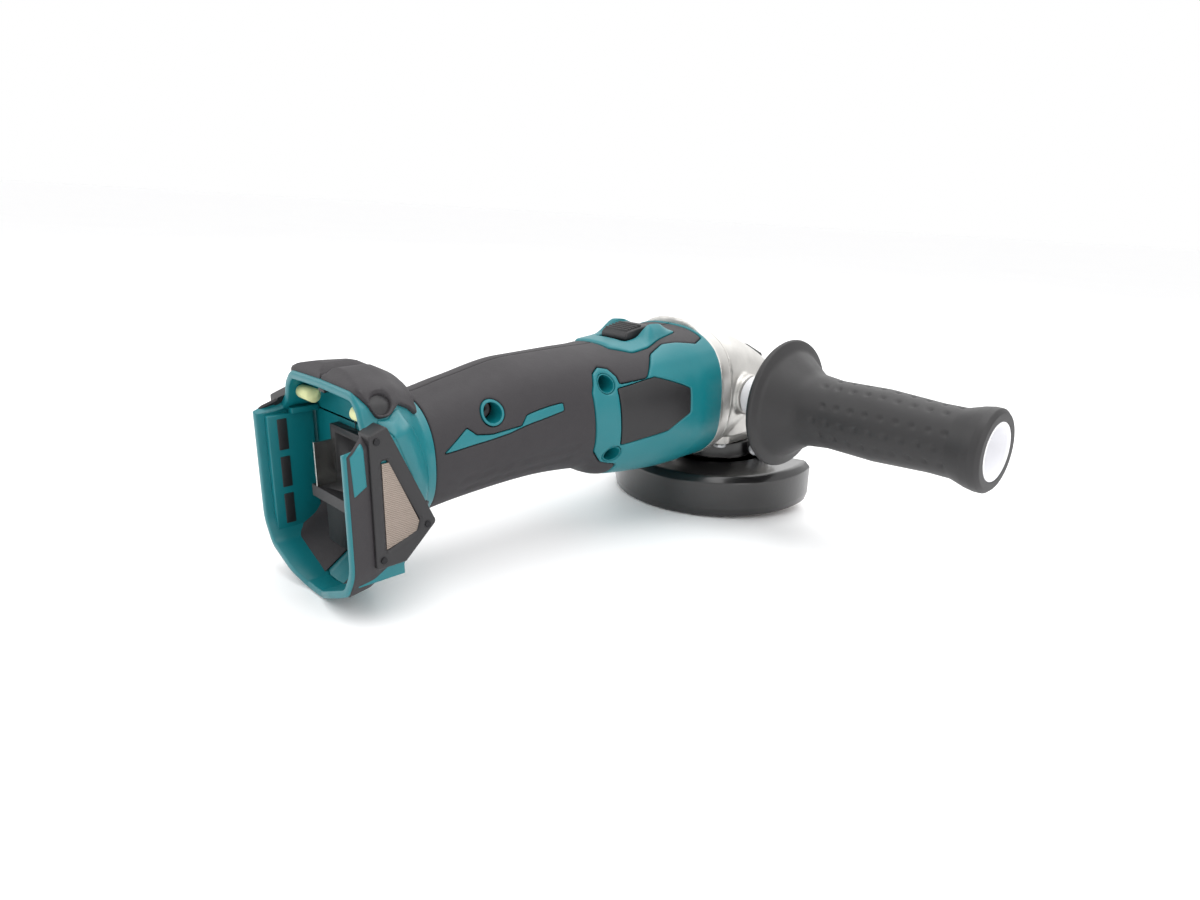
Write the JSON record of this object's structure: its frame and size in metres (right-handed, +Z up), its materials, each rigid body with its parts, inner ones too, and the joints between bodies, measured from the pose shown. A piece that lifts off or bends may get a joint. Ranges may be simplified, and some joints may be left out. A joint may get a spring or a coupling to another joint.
{
  "type": "angle grinder",
  "caption": "Cordless angle grinder, battery not fitted: barrel grip, cast gear head with side handle, turnable guard, grinding wheel, slide switch and shaft lock.",
  "frame": {"origin": "on the spindle axis, in the middle of the free end of the spindle thread", "axes": "+X towards the side handle, +Y from the grip to the gear head (the tool's long direction), +Z up along the spindle"},
  "size_m": [0.2271, 0.3095, 0.1054],
  "materials": {
    "abrasive": "resin-bonded grit",
    "bearing_steel": "ground",
    "black_plastic": "moulded, matt",
    "cast_aluminium": "fine cast, satin",
    "contact_plate": "bright plated",
    "copper": "enamelled winding",
    "cushion": "soft pale yellow-green",
    "fan_plastic": "moulded",
    "gear_steel": "ground, oiled",
    "grip_rubber": "fine leather grain",
    "guard_paint": "gloss black enamel",
    "handle_rubber": "smooth, with dimples",
    "label_film": "blank satin film",
    "lamination": "stacked sheet",
    "mesh_steel": "fine woven mesh",
    "potting": "cast resin",
    "spring_steel": "bright",
    "steel": "machined",
    "steel_fastener": "blackened",
    "teal_plastic": "glass-filled nylon, satin",
    "white_plastic": "satin"
  },
  "bodies": {
    "tool_body": {"battery_cushions": "cushion", "bearing_box": "cast_aluminium", "bearing_box_screws": "steel_fastener", "bearing_retainer": "steel", "controller_board": "potting", "controller_tray": "black_plastic", "filter_frame_left": "black_plastic", "filter_frame_right": "black_plastic", "filter_meshes": "mesh_steel", "filter_rivets": "steel_fastener", "front_bearing_balls": "bearing_steel", "front_bearing_outer_ring": "bearing_steel", "gear_housing": "cast_aluminium", "gear_housing_cover": "cast_aluminium", "gear_housing_screws": "steel_fastener", "grip_inlay_left": "teal_plastic", "grip_inlay_right": "teal_plastic", "grip_overmold_left": "grip_rubber", "grip_overmold_right": "grip_rubber", "handle_core": "white_plastic", "handle_grip": "handle_rubber", "handle_stud": "steel", "housing_left": "teal_plastic", "housing_right": "teal_plastic", "housing_screws": "steel_fastener", "label_plate_left": "label_film", "label_plate_right": "label_film", "rear_bearing_balls": "bearing_steel", "rear_bearing_outer_ring": "bearing_steel", "rear_cap_left": "grip_rubber", "rear_cap_right": "grip_rubber", "shaft_lock_spring": "spring_steel", "spindle_bearing_balls": "bearing_steel", "spindle_bearing_outer_ring": "bearing_steel", "stator": "lamination", "stator_coils": "copper", "switch_bezel": "teal_plastic", "switch_unit": "black_plastic", "terminal_blades": "contact_plate", "terminal_block": "black_plastic", "terminal_clips": "contact_plate", "top_bearing": "steel"},
    "spindle": {"spindle": "steel", "bevel_gear": "gear_steel", "inner_flange": "steel", "grinding_wheel": "abrasive", "lock_nut": "steel", "spindle_bearing_inner_ring": "bearing_steel"},
    "rotor": {"rotor_shaft": "steel", "rotor_core": "lamination", "fan": "fan_plastic", "pinion": "gear_steel", "front_bearing_inner_ring": "bearing_steel", "rear_bearing_inner_ring": "bearing_steel"},
    "guard": {"wheel_guard": "guard_paint", "guard_clamp_bolt": "steel_fastener"},
    "shaft_lock": {"shaft_lock_button": "black_plastic", "shaft_lock_pin": "steel"},
    "switch_slider": {"switch_slider": "black_plastic"},
    "switch_knob": {"switch_knob": "black_plastic"}
  },
  "joints": [
    {"name": "spindle_spin", "type": "hinge", "parent": "tool_body", "child": "spindle", "pos_m": [0, 0, 0], "axis": [0, 0, 1], "continuous": true},
    {"name": "rotor_spin", "type": "hinge", "parent": "tool_body", "child": "rotor", "pos_m": [0, -0.06, 0.062], "axis": [0, 1, 0], "continuous": true},
    {"name": "guard_turn", "type": "hinge", "parent": "tool_body", "child": "guard", "pos_m": [0, 0, 0.02], "axis": [0, 0, 1], "range_deg": [-109, 71]},
    {"name": "shaft_lock_press", "type": "slide", "parent": "tool_body", "child": "shaft_lock", "axis": [0, 0, -1], "range_m": [0, 0.0035], "stiffness_N_per_m": 700, "deforming": ["shaft_lock_spring"]},
    {"name": "switch_slide", "type": "slide", "parent": "tool_body", "child": "switch_slider", "axis": [0, 1, 0], "range_m": [0, 0.0065], "stiffness_N_per_m": 500},
    {"name": "switch_rock", "type": "hinge", "parent": "switch_slider", "child": "switch_knob", "pos_m": [0, -0.07375, 0.096], "axis": [1, 0, 0], "range_deg": [-2, 0], "stiffness_Nm_per_rad": 0.3}
  ],
  "couplings": [
    {"joint": "rotor_spin", "follows": "spindle_spin", "ratio": -3.8}
  ]
}
